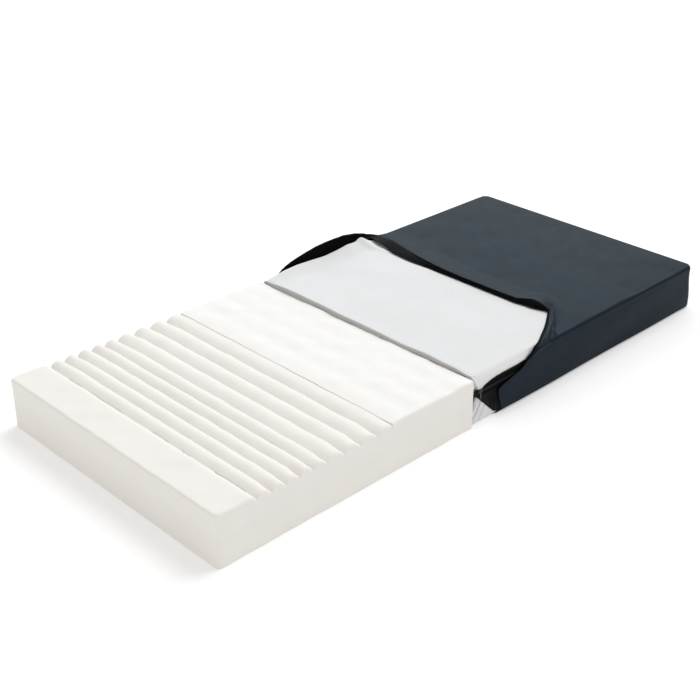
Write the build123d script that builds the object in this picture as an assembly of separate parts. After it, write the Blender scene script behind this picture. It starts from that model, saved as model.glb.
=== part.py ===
from build123d import *
import os

# Pressure relief mattress: a profile-cut foam core, a fire-retardant liner drawn over its head
# half, and a zipped cover drawn back over the liner. Millimetres.
#
# Frame: origin under the centre of the mattress, on the surface it lies on. +X runs to the head
# end, +Y across, +Z up. "near" is the -Y side and "far" is the +Y side.

# ---- Driving dimensions -------------------------------------------------------------------------
mattress_length = 1980.0
mattress_width = 880.0
mattress_height = 150.0

half_length = mattress_length / 2
half_width = mattress_width / 2

# Cloth thicknesses, and the clearance kept between neighbouring layers.
cover_cloth = 1.6
liner_cloth = 1.2
clearance = 0.4

# The zip runs in a gap between the cover's outer flap and its inner border. Depths are measured
# inwards from the cover's outer face.
pull_depth = cover_cloth + 0.7
pull_thickness = 0.9
slider_depth = pull_depth + pull_thickness + clearance
slider_plate = 0.9
slider_channel = 2.6
slider_thickness = 2 * slider_plate + slider_channel
coil_thickness = 2.2
tape_thickness = 0.8
zip_plane_depth = slider_depth + slider_thickness / 2

liner_depth = slider_depth + slider_thickness + clearance
core_squeeze = liner_depth + liner_cloth + clearance

# Foam core: a base slab with three topper blocks glued on it. Where the cover and liner hold it,
# it is squeezed by core_squeeze at the sides and the head end.
slab_height = 75.0
zone_length = 575.0
held_from_x = -103.0
core_head_x = half_length - core_squeeze
core_held_half_width = half_width - core_squeeze
core_held_bottom = cover_cloth + clearance + liner_cloth + clearance
core_held_top = mattress_height - core_held_bottom
foam_corner_radius = 8.0

# Transverse ribs cut into the foot zone: a plain band, then narrow ribs, then wide ribs up to the
# seam with the body zone, which has long shallow waves.
plain_band = 124.0
narrow_ribs = 5
narrow_pitch = 44.5
wide_ribs = 4
rib_depth = 15.0
band_rounding = 24.0
wide_pitch = (zone_length - plain_band - narrow_ribs * narrow_pitch) / wide_ribs
wave_count = 4
wave_depth = 2.5

# Liner sleeve, closed at the head end, with a rolled hem round its open end.
hem_width = 10.0
hem_rise = 9.0
hem_side_rise = 7.0
hem_radius = 3.5
liner_front_x = held_from_x + 1.0 + hem_width
liner_head_x = half_length - liner_depth
liner_half_width = half_width - liner_depth
liner_bottom = cover_cloth + clearance
liner_top = mattress_height - cover_cloth - clearance

# Cover mouth: its outline on the top from the near crease to the far one, the front edge of the
# outer side panels below it, and the arch that its far edge rises in.
mouth_near_corner = [(178.0, -half_width), (335.0, -352.0), (372.0, -322.0), (358.0, -204.0)]
mouth_far_corner = [(358.0, 140.0), (389.0, 255.0), (421.0, 377.0), (429.0, half_width)]
flap_corner = (133.0, 124.0)
flap_front = [(97.0, 103.0), (61.0, 94.0), (17.0, 84.0), (8.0, 74.0), (14.0, 45.0)]
flap_front_x = 32.0
mouth_floor_x = 8.0
mouth_floor_z = 8.0
tip_x = -92.0
tip_z = 101.0
flap_bottom = 5.0
arch_crease = (424.0, mattress_height - cover_cloth)
arch_top = (205.0, 199.0)
arch_foot = (0.0, 165.0)
facing_width = 26.0
binding_height = 13.0
binding_thickness = 6.0
binding_clear = 5.0

# Zip.
zip_z = 100.0
coil_height = 2.9
coil_gap = 1.4
tape_height = 13.0
zip_row = coil_gap / 2 + coil_height
tape_low = zip_z - zip_row - tape_height
tape_high = zip_z + zip_row + tape_height
slider_length = 16.0
slider_height = 12.0
slider_x = -66.0
post_width = 1.0
stop_length = 4.0
bail_diameter = 2.2
pull_length = 26.0
pull_width = 7.0

# Planes of the zip tapes, which the borders share.
tape_outer = zip_plane_depth - tape_thickness / 2
tape_inner = zip_plane_depth + tape_thickness / 2


# ---- Helpers ------------------------------------------------------------------------------------
def block(x0, x1, y0, y1, z0, z1):
    """A box from its limits along each axis."""
    centre = ((x0 + x1) / 2, (y0 + y1) / 2, (z0 + z1) / 2)
    return Pos(*centre) * Box(abs(x1 - x0), abs(y1 - y0), abs(z1 - z0))


def side_panel(outline, y0, y1):
    """A flat panel across Y, from a closed face or edge list drawn in X and Z."""
    plane = Plane(origin=(0, y0, 0), x_dir=(1, 0, 0), z_dir=(0, -1, 0))
    return extrude(plane * outline, amount=y0 - y1)


def polygon(points):
    """A closed face with straight sides."""
    return make_face(Polyline(*points, close=True))


def near_and_far(depth0, depth1):
    """The Y limits of a layer on the near side and on the far side, from its depths."""
    return {
        "near": (-half_width + depth0, -half_width + depth1),
        "far": (half_width - depth0, half_width - depth1),
    }


def lower_mouth_x(z):
    """X of the cover's lower mouth edge at height z: straight from the floor up to the zip tip."""
    return mouth_floor_x + (z - mouth_floor_z) * (tip_x - mouth_floor_x) / (tip_z - mouth_floor_z)


def save(shape, node):
    export_step(shape, f"parts/{node}.step")


# ---- Foam core ----------------------------------------------------------------------------------
def foam_base_slab():
    foot = block(-half_length, held_from_x, -half_width, half_width, 0, slab_height)
    foot = fillet(foot.edges().filter_by(Axis.Z).group_by(Axis.X)[0], foam_corner_radius)
    held = block(
        held_from_x,
        core_head_x,
        -core_held_half_width,
        core_held_half_width,
        core_held_bottom,
        slab_height,
    )
    return foot + held


def ribbed_profile(start_x, pitches, depth, lead_in):
    """Edges along the top of a block: an optional plain lead-in, then one arc for each rib."""
    valley = mattress_height - depth
    x = start_x
    edges = []
    if lead_in:
        flat_end = x + lead_in - band_rounding
        x += lead_in
        edges.append(Line((start_x, mattress_height), (flat_end, mattress_height)))
        edges.append(TangentArc((flat_end, mattress_height), (x, valley), tangent=(1, 0)))
    for pitch in pitches:
        crest = (x + pitch / 2, mattress_height)
        edges.append(ThreePointArc((x, valley), crest, (x + pitch, valley)))
        x += pitch
    return edges


def ribbed_block(start_x, pitches, depth, lead_in=0.0):
    """A full-width topper block whose top is cut into ribs."""
    top = ribbed_profile(start_x, pitches, depth, lead_in)
    first = top[0] @ 0
    last = top[-1] @ 1
    closing = Polyline(
        last,
        (last.X, slab_height),
        (first.X, slab_height),
        first,
    )
    return side_panel(make_face(top + [closing]), half_width, -half_width)


def foam_foot_topper():
    pitches = [narrow_pitch] * narrow_ribs + [wide_pitch] * wide_ribs
    topper = ribbed_block(-half_length, pitches, rib_depth, plain_band)
    corners = topper.edges().filter_by(Axis.Z).group_by(Axis.X)[0]
    return fillet(corners, foam_corner_radius)


def foam_body_topper():
    start = -half_length + zone_length
    wave_pitch = (held_from_x - start) / wave_count
    open_part = ribbed_block(start, [wave_pitch] * wave_count, wave_depth)
    held_part = block(
        held_from_x,
        half_length - zone_length,
        -core_held_half_width,
        core_held_half_width,
        slab_height,
        core_held_top,
    )
    return open_part + held_part


def foam_head_topper():
    return block(
        half_length - zone_length,
        core_head_x,
        -core_held_half_width,
        core_held_half_width,
        slab_height,
        core_held_top,
    )


# ---- Liner --------------------------------------------------------------------------------------
def liner_panel(z0, z1):
    return block(liner_front_x, liner_head_x, -liner_half_width, liner_half_width, z0, z1)


def liner_border(side):
    y0, y1 = near_and_far(liner_depth, liner_depth + liner_cloth)[side]
    inside = liner_head_x - liner_cloth
    return block(liner_front_x, inside, y0, y1, liner_bottom + liner_cloth, liner_top - liner_cloth)


def liner_border_head():
    return block(
        liner_head_x - liner_cloth,
        liner_head_x,
        -liner_half_width,
        liner_half_width,
        liner_bottom + liner_cloth,
        liner_top - liner_cloth,
    )


def liner_hem():
    """The rolled hem, a ring round the core that stands proud of it on the top and the sides."""
    back_x = liner_front_x
    front_x = back_x - hem_width
    inner_half = liner_half_width - liner_cloth
    outer_half = inner_half + hem_side_rise
    ring = block(
        front_x,
        back_x,
        -outer_half,
        outer_half,
        clearance,
        liner_top + hem_rise,
    )
    top_edges = ring.edges().filter_by(Axis.Y).group_by(Axis.Z)[-1]
    ring = fillet(top_edges, hem_radius)
    hole = block(
        front_x - 1,
        back_x + 1,
        -inner_half,
        inner_half,
        liner_bottom + liner_cloth,
        liner_top - liner_cloth,
    )
    return ring - hole


# ---- Cover --------------------------------------------------------------------------------------
def cover_top_panel():
    outline = mouth_near_corner + mouth_far_corner
    outline = outline + [(half_length, half_width), (half_length, -half_width)]
    panel = extrude(polygon(outline), amount=cover_cloth)
    return Pos(0, 0, mattress_height - cover_cloth) * panel


def cover_base_panel():
    reach = half_width - tape_outer
    return block(mouth_floor_x, half_length - tape_outer, -reach, reach, 0, cover_cloth)


def cover_flap_near():
    """Outer side panel: it hangs from the top panel over the zip, open at the mouth end."""
    top = mattress_height - cover_cloth
    outline = [(mouth_near_corner[0][0], top), flap_corner]
    outline += flap_front
    outline += [(flap_front_x, flap_bottom), (half_length, flap_bottom), (half_length, top)]
    return side_panel(polygon(outline), -half_width + cover_cloth, -half_width)


def arch_edge(lowered):
    """The far mouth edge, an arch that stands above the top of the mattress."""
    middle = (arch_top[0], arch_top[1] - lowered)
    foot = (arch_foot[0], arch_foot[1] - lowered)
    return ThreePointArc(arch_crease, middle, foot)


def cover_flap_far():
    top = mattress_height - cover_cloth
    arch = arch_edge(0)
    rest = Polyline(
        arch @ 1,
        (-52.0, 124.0),
        *flap_front[2:],
        (flap_front_x, flap_bottom),
        (half_length, flap_bottom),
        (half_length, top),
        arch @ 0,
    )
    face = make_face([arch, rest])
    return side_panel(face, half_width, half_width - cover_cloth)


def cover_flap_head():
    return block(
        half_length - cover_cloth,
        half_length,
        -half_width + cover_cloth,
        half_width - cover_cloth,
        flap_bottom,
        mattress_height - cover_cloth,
    )


def cover_border_lower(side):
    """Inner side wall from the base panel up to the lower zip tape."""
    back = half_length - tape_inner
    outline = [
        (mouth_floor_x, cover_cloth),
        (mouth_floor_x, mouth_floor_z),
        (lower_mouth_x(tape_low), tape_low),
        (back, tape_low),
        (back, cover_cloth),
    ]
    y0, y1 = near_and_far(tape_outer, tape_inner)[side]
    return side_panel(polygon(outline), max(y0, y1), min(y0, y1))


def cover_border_upper(side):
    """Inner side wall from the upper zip tape up to the top panel."""
    back = half_length - tape_inner
    top = mattress_height - cover_cloth
    outline = [
        (flap_corner[0] - binding_clear, tape_high),
        flap_corner,
        (mouth_near_corner[0][0], top),
        (back, top),
        (back, tape_high),
    ]
    y0, y1 = near_and_far(tape_outer, tape_inner)[side]
    return side_panel(polygon(outline), max(y0, y1), min(y0, y1))


def cover_border_head(z0, z1):
    reach = half_width - tape_outer
    return block(half_length - tape_inner, half_length - tape_outer, -reach, reach, z0, z1)


def mouth_binding(path, height):
    """A bound edge that stands on the top panel along path."""
    wall = offset(path, amount=binding_thickness / 2, side=Side.BOTH)
    return Pos(0, 0, mattress_height) * extrude(make_face(wall), amount=height)


def mouth_binding_top():
    """Black binding that stands up along the mouth edge, across the top and into its far corner."""
    start_x, start_y = mouth_near_corner[-1]
    path = Polyline((start_x, start_y + 2 * binding_clear), *mouth_far_corner[:-1])
    return mouth_binding(path, binding_height)


def mouth_binding_near():
    """The same binding round the near corner of the mouth, lower as it nears the crease."""
    crease_x, crease_y = mouth_near_corner[0]
    start = (crease_x + 2 * binding_clear, crease_y + binding_clear)
    return mouth_binding(Polyline(start, *mouth_near_corner[1:]), binding_height * 0.75)


def mouth_facing_far():
    """Black facing behind the arched far mouth edge."""
    outer = arch_edge(0)
    inner = arch_edge(facing_width)
    face = make_face([outer, inner, Line(outer @ 1, inner @ 1)])
    depth = cover_cloth + clearance
    return side_panel(face, half_width - depth, half_width - depth - cover_cloth)


# ---- Zip ----------------------------------------------------------------------------------------
def zip_strip(z0, z1, thickness, front_low, front_high):
    """A strip that runs along the near side, round the head end and back along the far side."""
    depth0 = zip_plane_depth - thickness / 2
    depth1 = zip_plane_depth + thickness / 2
    back = half_length - depth1
    outline = polygon([(front_low, z0), (front_high, z1), (back, z1), (back, z0)])
    strip = block(back, half_length - depth0, -half_width + depth0, half_width - depth0, z0, z1)
    for y0, y1 in near_and_far(depth0, depth1).values():
        strip += side_panel(outline, max(y0, y1), min(y0, y1))
    return strip


def zip_tape_lower():
    top = zip_z - zip_row
    return zip_strip(tape_low, top, tape_thickness, lower_mouth_x(tape_low), lower_mouth_x(top))


def zip_tape_upper():
    bottom = zip_z + zip_row
    return zip_strip(bottom, tape_high, tape_thickness, tip_x + 4, tip_x + 26)


def zip_coil_lower():
    start = tip_x + stop_length + 2
    low = zip_z - zip_row
    return zip_strip(low, low + coil_height, coil_thickness, start, start)


def zip_coil_upper():
    start = tip_x + stop_length + 2
    low = zip_z + coil_gap / 2
    return zip_strip(low, low + coil_height, coil_thickness, start, start)


def zip_stop(side):
    """End stop crimped over both coils at the tip."""
    y0, y1 = near_and_far(
        zip_plane_depth - coil_thickness / 2, zip_plane_depth + coil_thickness / 2
    )[side]
    x0 = tip_x + 2
    return block(x0, x0 + stop_length, y0, y1, zip_z - zip_row, zip_z + zip_row)


def zip_slider(side):
    """Two plates joined by a thin post that passes between the coils, with a bail in front."""
    front, back = near_and_far(slider_depth, slider_depth + slider_thickness)[side]
    outward = -1 if side == "near" else 1
    inner_front = front - outward * slider_plate
    inner_back = back + outward * slider_plate
    x0 = slider_x - slider_length / 2
    x1 = slider_x + slider_length / 2
    z0 = zip_z - slider_height / 2
    z1 = zip_z + slider_height / 2
    plates = [block(x0, x1, front, inner_front, z0, z1), block(x0, x1, inner_back, back, z0, z1)]
    plates = [fillet(plate.edges().filter_by(Axis.Y), slider_plate * 2) for plate in plates]
    post = block(
        x0 + 1,
        x0 + 5,
        inner_front,
        inner_back,
        zip_z - post_width / 2,
        zip_z + post_width / 2,
    )
    bail_end = front + outward * (pull_thickness + clearance + 0.3)
    bail = Pos(slider_x, (front + bail_end) / 2, zip_z) * Rot(90, 0, 0)
    bail = bail * Cylinder(bail_diameter / 2, abs(bail_end - front))
    return plates[0] + plates[1] + post + bail


def zip_pull(side):
    """Flat tag that hangs from the slider's bail and swings in the plane of the side."""
    y0, y1 = near_and_far(pull_depth, pull_depth + pull_thickness)[side]
    eye = SlotOverall(pull_length, pull_width, rotation=90)
    drop = pull_length / 2 - pull_width / 2
    plane = Plane(origin=(slider_x, max(y0, y1), zip_z), x_dir=(1, 0, 0), z_dir=(0, -1, 0))
    tag = extrude(plane * (Pos(0, -drop) * eye), amount=pull_thickness)
    hole = Pos(slider_x, (y0 + y1) / 2, zip_z) * Rot(90, 0, 0)
    return tag - hole * Cylinder(bail_diameter / 2 + clearance, pull_thickness * 2)


# ---- Export -------------------------------------------------------------------------------------
os.makedirs("parts", exist_ok=True)

save(foam_base_slab(), "foam_base_slab")
save(foam_foot_topper(), "foam_foot_topper")
save(foam_body_topper(), "foam_body_topper")
save(foam_head_topper(), "foam_head_topper")

save(liner_panel(liner_top - liner_cloth, liner_top), "liner_top_panel")
save(liner_panel(liner_bottom, liner_bottom + liner_cloth), "liner_base_panel")
save(liner_border_head(), "liner_border_head")
save(liner_hem(), "liner_hem")

save(cover_top_panel(), "cover_top_panel")
save(cover_base_panel(), "cover_base_panel")
save(cover_flap_near(), "cover_flap_near")
save(cover_flap_far(), "cover_flap_far")
save(cover_flap_head(), "cover_flap_head")
save(cover_border_head(cover_cloth, tape_low), "cover_border_lower_head")
save(cover_border_head(tape_high, mattress_height - cover_cloth), "cover_border_upper_head")
save(mouth_binding_top(), "mouth_binding_top")
save(mouth_binding_near(), "mouth_binding_near")
save(mouth_facing_far(), "mouth_facing_far")

save(zip_tape_lower(), "zip_tape_lower")
save(zip_tape_upper(), "zip_tape_upper")
save(zip_coil_lower(), "zip_coil_lower")
save(zip_coil_upper(), "zip_coil_upper")

for side in ("near", "far"):
    save(liner_border(side), f"liner_border_{side}")
    save(cover_border_lower(side), f"cover_border_lower_{side}")
    save(cover_border_upper(side), f"cover_border_upper_{side}")
    save(zip_stop(side), f"zip_stop_{side}")
    save(zip_slider(side), f"zip_slider_{side}")
    save(zip_pull(side), f"zip_pull_{side}")
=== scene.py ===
"""Looks of the pressure relief mattress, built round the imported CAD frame, in metres.

The foam core lies bare at the foot end (-X). The grey liner and the navy cover are drawn back over
the head half (+X). "near" is the -Y side and "far" is the +Y side.
"""

import math

import bpy
import numpy as np
from mathutils import Matrix, Vector


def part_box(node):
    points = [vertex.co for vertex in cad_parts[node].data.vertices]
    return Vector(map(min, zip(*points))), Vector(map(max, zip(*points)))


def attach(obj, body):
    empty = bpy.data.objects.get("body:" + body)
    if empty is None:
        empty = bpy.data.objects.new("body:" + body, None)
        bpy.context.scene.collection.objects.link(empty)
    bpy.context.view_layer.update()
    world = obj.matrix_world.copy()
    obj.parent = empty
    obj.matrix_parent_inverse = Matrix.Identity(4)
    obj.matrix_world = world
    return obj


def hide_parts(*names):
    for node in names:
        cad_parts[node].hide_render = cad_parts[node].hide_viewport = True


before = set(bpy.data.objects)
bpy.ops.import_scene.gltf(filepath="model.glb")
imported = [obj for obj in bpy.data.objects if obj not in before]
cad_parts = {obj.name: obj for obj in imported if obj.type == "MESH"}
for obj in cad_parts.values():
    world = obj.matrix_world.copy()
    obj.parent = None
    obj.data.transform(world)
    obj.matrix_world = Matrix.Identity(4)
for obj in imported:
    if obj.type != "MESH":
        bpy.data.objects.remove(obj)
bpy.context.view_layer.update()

# ---- Places, taken from the frame ---------------------------------------------------------------
slab_low, slab_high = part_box("foam_base_slab")
foot_low, foot_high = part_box("foam_foot_topper")
body_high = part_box("foam_body_topper")[1]
head_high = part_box("foam_head_topper")[1]
liner_low, liner_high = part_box("liner_top_panel")
liner_base_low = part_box("liner_base_panel")[0]
hem_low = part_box("liner_hem")[0]
top_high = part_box("cover_top_panel")[1]
base_low, base_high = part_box("cover_base_panel")
flap_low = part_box("cover_flap_near")[0]
tape_low, tape_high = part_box("zip_tape_lower")
tape_upper_low, tape_upper_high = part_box("zip_tape_upper")
coil_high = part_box("zip_coil_lower")[1]
stop_low, stop_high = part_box("zip_stop_near")
slider_low, slider_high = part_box("zip_slider_near")
pull_low, pull_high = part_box("zip_pull_near")

half_width = top_high.y
mattress_top = top_high.z
head_end = top_high.x
seam_x = foot_high.x

# The liner and cover hold the core narrower and lower from held_x to the head end.
held_x = hem_low.x
held_half_width = head_high.y
held_top = head_high.z
held_bottom = 0.0036
held_edge_radius = 0.023
squeeze_length = 0.009
pleat_dent = 0.022
pleat_dent_top = 0.118

# ---- Small maths --------------------------------------------------------------------------------


def smooth(t):
    """Smoothstep of t, clipped to 0..1."""
    t = np.clip(t, 0.0, 1.0)
    return t * t * (3.0 - 2.0 * t)


def ripple(u, v, wavelength, seed, count=7):
    """Gentle random unevenness over two coordinates, about -1 to 1."""
    rng = np.random.default_rng(seed)
    total = np.zeros_like(np.asarray(u, float) + np.asarray(v, float))
    for _ in range(count):
        angle = rng.uniform(0, math.tau)
        k = math.tau / (wavelength * rng.uniform(0.7, 1.5))
        phase = rng.uniform(0, math.tau)
        total += np.sin(k * (u * math.cos(angle) + v * math.sin(angle)) + phase)
    return total / math.sqrt(count)


def samples(low, high, step, dense=0.0, dense_count=6):
    """Positions from low to high, about step apart and closer together within dense of the ends."""
    if dense <= 0:
        return np.linspace(low, high, max(2, round((high - low) / step) + 1))
    count = max(2, round((high - low - 2 * dense) / step) + 1)
    middle = np.linspace(low + dense, high - dense, count)
    start = np.linspace(low, low + dense, dense_count)[:-1]
    end = np.linspace(high - dense, high, dense_count)[1:]
    return np.concatenate([start, middle, end])


def stretches(*stops):
    """Positions through stops, which are place, step, place, step and so on up to a last place."""
    parts = []
    for low, step, high in zip(stops[0::2], stops[1::2], stops[2::2]):
        parts.append(samples(low, high, step)[:-1])
    return np.concatenate([*parts, stops[-1:]])


def ridge(u, v, start, end, width, height):
    """A soft crease along the line from start to end, over the coordinates u and v."""
    start, end = np.array(start), np.array(end)
    along = end - start
    length = np.linalg.norm(along)
    t = ((u - start[0]) * along[0] + (v - start[1]) * along[1]) / length**2
    t = np.clip(t, 0, 1)
    away = np.hypot(u - start[0] - t * along[0], v - start[1] - t * along[1])
    taper = np.sin(math.pi * (0.08 + 0.84 * t))
    return height * taper * np.exp(-((away / width) ** 2))


def ridges(u, v, creases):
    """The sum of several creases, each given as (start, end, width, height)."""
    return sum(ridge(u, v, *crease) for crease in creases)


# ---- Mesh helpers -------------------------------------------------------------------------------


def make_object(name, points, faces, materials, smooth_angle=None):
    """A linked mesh object, smooth all over or only below smooth_angle degrees."""
    mesh = bpy.data.meshes.new(name)
    mesh.from_pydata(np.asarray(points, float).tolist(), [], [tuple(f) for f in faces])
    mesh.validate()
    obj = bpy.data.objects.new(name, mesh)
    bpy.context.scene.collection.objects.link(obj)
    for item in materials if isinstance(materials, (list, tuple)) else [materials]:
        mesh.materials.append(item)
    if smooth_angle is None:
        mesh.shade_smooth()
    else:
        mesh.set_sharp_from_angle(angle=math.radians(smooth_angle))
    return obj


def grid_faces(rows, columns, wrap_rows=False, wrap_columns=False):
    """Quads over a grid of rows x columns points, numbered along the columns first."""
    row = np.arange(rows if wrap_rows else rows - 1)
    column = np.arange(columns if wrap_columns else columns - 1)
    i, j = np.meshgrid(row, column, indexing="ij")
    i2, j2 = (i + 1) % rows, (j + 1) % columns
    corners = [i * columns + j, i2 * columns + j, i2 * columns + j2, i * columns + j2]
    return np.stack([c.ravel() for c in corners], axis=1)


def grid_object(name, points, materials, wrap_rows=False, wrap_columns=False, flip=False):
    """A mesh over a rows x columns grid of points."""
    rows, columns = points.shape[:2]
    faces = grid_faces(rows, columns, wrap_rows, wrap_columns)
    if flip:
        faces = faces[:, ::-1]
    return make_object(name, points.reshape(-1, 3), faces, materials)


def box_skin(xs, ys, zs, sides):
    """Points and outward quads of the named sides of a box, welded along their shared edges."""
    layouts = {
        "top": (xs, ys, lambda a, b: (a, b, zs[-1])),
        "bottom": (ys, xs, lambda a, b: (b, a, zs[0])),
        "near": (xs, zs, lambda a, b: (a, ys[0], b)),
        "far": (zs, xs, lambda a, b: (b, ys[-1], a)),
        "head": (ys, zs, lambda a, b: (xs[-1], a, b)),
        "foot": (zs, ys, lambda a, b: (xs[0], b, a)),
    }
    points, faces, count = [], [], 0
    for side in sides:
        first, second, place = layouts[side]
        a, b = np.meshgrid(first, second, indexing="ij")
        coordinates = [np.broadcast_to(c, a.shape).ravel() for c in place(a, b)]
        points.append(np.stack(coordinates, axis=1))
        faces.append(grid_faces(len(first), len(second)) + count)
        count += a.size
    points, faces = np.concatenate(points), np.concatenate(faces)
    _, kept, welded = np.unique(
        np.round(points * 1e6).astype(np.int64), axis=0, return_index=True, return_inverse=True
    )
    return points[kept], welded.ravel()[faces]


def soften(points, low, high, plan_radius, top_radius, bottom_radius=0.0):
    """Rounds a box's upright edges to plan_radius, and its top and bottom edges to theirs."""
    low, high = np.array(low, float), np.array(high, float)
    centre, half = (low + high) / 2, (high - low) / 2
    offset = points[:, :2] - centre[:2]
    sign = np.where(offset < 0, -1.0, 1.0)
    inner = half[:2] - plan_radius
    over = np.maximum(np.abs(offset) - inner, 0)
    reach = over.max(axis=1)
    length = np.linalg.norm(over, axis=1)
    safe = np.maximum(length, 1e-12)
    over = over * (reach / safe)[:, None]
    normal = sign * over / np.maximum(np.linalg.norm(over, axis=1), 1e-12)[:, None]
    plan = centre[:2] + sign * (np.minimum(np.abs(offset), inner) + over)
    inset = plan_radius - reach
    z = points[:, 2].copy()
    for radius, edge_z, up in ((top_radius, high[2], 1.0), (bottom_radius, low[2], -1.0)):
        if radius <= 0:
            continue
        depth = (edge_z - z) * up
        across = np.clip(radius - inset, 0, radius)
        down = np.clip(radius - depth, 0, radius)
        both = (across > 0) & (down > 0)
        size = np.maximum(np.hypot(across, down), 1e-12)
        scale = np.where(both, np.maximum(across, down) / size, 1.0)
        plan = plan - normal * (across * (1 - scale) * both)[:, None]
        z = np.where(both, edge_z - up * (radius - down * scale), z)
    return np.column_stack([plan, z])


def thicken(obj, thickness, inside_slot=0, offset=-1.0):
    """Gives a cloth its thickness, with another material on its inner side where asked."""
    bpy.context.view_layer.objects.active = obj
    solid = obj.modifiers.new("cloth thickness", "SOLIDIFY")
    solid.thickness = thickness
    solid.offset = offset
    solid.material_offset = inside_slot
    solid.material_offset_rim = inside_slot
    with bpy.context.temp_override(object=obj, active_object=obj, selected_objects=[obj]):
        bpy.ops.object.modifier_apply(modifier=solid.name)
    return obj


def ring_sweep(name, path, outline, material):
    """A closed tube along path whose section is outline(i), points (across, out) in path's frame.

    path is a list of (point, across, out) in which across and out are unit vectors."""
    rows = []
    for i, (point, across, out) in enumerate(path):
        rows.append([point + a * across + b * out for a, b in outline(i)])
    return grid_object(name, np.array(rows), material, wrap_rows=True, wrap_columns=True)


def tube_faces(rings, sides):
    """Faces of a tube of rings with the same number of points each, and of its two flat ends."""
    faces = [tuple(f) for f in grid_faces(rings, sides, wrap_columns=True)]
    last = (rings - 1) * sides
    faces.append(tuple(range(sides))[::-1])
    faces.append(tuple(range(last, last + sides)))
    return faces


def copies(name, template, places, material):
    """One mesh that repeats template, a (points, faces) pair, at each place.

    A place is (point, x axis, y axis, z axis)."""
    base, base_faces = np.array(template[0], float), template[1]
    points, faces = [], []
    for k, (point, x_axis, y_axis, z_axis) in enumerate(places):
        axes = np.array([x_axis, y_axis, z_axis], float)
        points.append(base @ axes + np.array(point, float))
        faces += [tuple(v + k * len(base) for v in face) for face in base_faces]
    return make_object(name, np.concatenate(points), faces, material)


def capsule(length, radius, sides=6):
    """A short thread or tooth: a tapered rod along X. Returns (points, faces)."""
    stations = [(-0.5, 0.35), (-0.36, 0.9), (0.0, 1.0), (0.36, 0.9), (0.5, 0.35)]
    points = []
    for along, size in stations:
        for s in range(sides):
            angle = math.tau * s / sides
            ring = (math.cos(angle) * radius * size, math.sin(angle) * radius * size)
            points.append((along * length, *ring))
    return points, [face[::-1] for face in tube_faces(len(stations), sides)]


def belongs(obj, body, slot, *nodes):
    """Sets the body that a piece rides on and hides the CAD nodes that it stands for. slot is not used.
    """
    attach(obj, body)
    if nodes:
        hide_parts(*nodes)
    return obj


# ---- Materials ----------------------------------------------------------------------------------


class Material:
    """A Principled material with a few helpers for procedural detail in object coordinates."""

    def __init__(self, name, roughness, **inputs):
        self.material = bpy.data.materials.new(name)
        self.material.use_nodes = True
        self.tree = self.material.node_tree
        self.nodes, self.links = self.tree.nodes, self.tree.links
        self.shader = self.nodes["Principled BSDF"]
        self.shader.inputs["Roughness"].default_value = roughness
        for socket, value in inputs.items():
            self.shader.inputs[socket.replace("_", " ")].default_value = value
        self.place = self.nodes.new("ShaderNodeTexCoord").outputs["Object"]
        self.height = None

    def texture(self, kind, output, **inputs):
        """An output of a procedural texture over the object's own coordinates."""
        node = self.nodes.new(f"ShaderNodeTex{kind}")
        for socket, value in inputs.items():
            node.inputs[socket].default_value = value
        self.links.new(self.place, node.inputs["Vector"])
        return node.outputs[output]

    def noise(self, scale, detail=3.0):
        return self.texture("Noise", "Fac", Scale=scale, Detail=detail, Roughness=0.55)

    def cells(self, scale):
        return self.texture("Voronoi", "Distance", Scale=scale)

    def wave(self, scale, direction, distortion=0.0):
        bands = self.texture("Wave", "Fac", Scale=scale, Distortion=distortion)
        bands.node.bands_direction = direction
        return bands

    def maths(self, operation, first, second):
        node = self.nodes.new("ShaderNodeMath")
        node.operation = operation
        for socket, value in zip(node.inputs, (first, second)):
            if isinstance(value, (int, float)):
                socket.default_value = value
            else:
                self.links.new(value, socket)
        return node.outputs["Value"]

    def mottle(self, factor, dark, light, low=0.3, high=0.7):
        """A base colour that goes from dark to light as factor goes from low to high."""
        node = self.nodes.new("ShaderNodeValToRGB")
        stops = zip(node.color_ramp.elements, (low, high), (dark, light))
        for element, position, colour in stops:
            element.position = position
            element.color = (*colour, 1.0)
        self.links.new(factor, node.inputs["Fac"])
        self.links.new(node.outputs["Color"], self.shader.inputs["Base Color"])

    def roughness(self, factor, low, high):
        node = self.nodes.new("ShaderNodeMapRange")
        node.inputs["To Min"].default_value = low
        node.inputs["To Max"].default_value = high
        self.links.new(factor, node.inputs["Value"])
        self.links.new(node.outputs["Result"], self.shader.inputs["Roughness"])

    def bump(self, factor, distance, strength=1.0):
        """Adds a bump layer over the ones before it."""
        node = self.nodes.new("ShaderNodeBump")
        node.inputs["Distance"].default_value = distance
        node.inputs["Strength"].default_value = strength
        self.links.new(factor, node.inputs["Height"])
        if self.height is not None:
            self.links.new(self.height, node.inputs["Normal"])
        self.height = node.outputs["Normal"]
        self.links.new(self.height, self.shader.inputs["Normal"])


def foam_material(name, light, dark):
    """Open-pored foam: pores, a fine grain and broad blotches."""
    foam = Material(
        name, 0.95, Subsurface_Weight=0.12, Subsurface_Scale=0.012, Specular_IOR_Level=0.2
    )
    foam.shader.inputs["Subsurface Radius"].default_value = (1.0, 0.8, 0.6)
    pores = foam.cells(820.0)
    blotches = foam.noise(6.0, detail=4.0)
    grain = foam.noise(240.0, detail=2.0)
    blotch_share = foam.maths("MULTIPLY", blotches, 0.65)
    grain_share = foam.maths("MULTIPLY", grain, 0.35)
    foam.mottle(foam.maths("ADD", blotch_share, grain_share), dark, light, 0.25, 0.75)
    foam.bump(pores, 0.0005, 0.5)
    foam.bump(grain, 0.0009, 0.35)
    foam.bump(blotches, 0.004, 0.15)
    return foam.material


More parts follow.
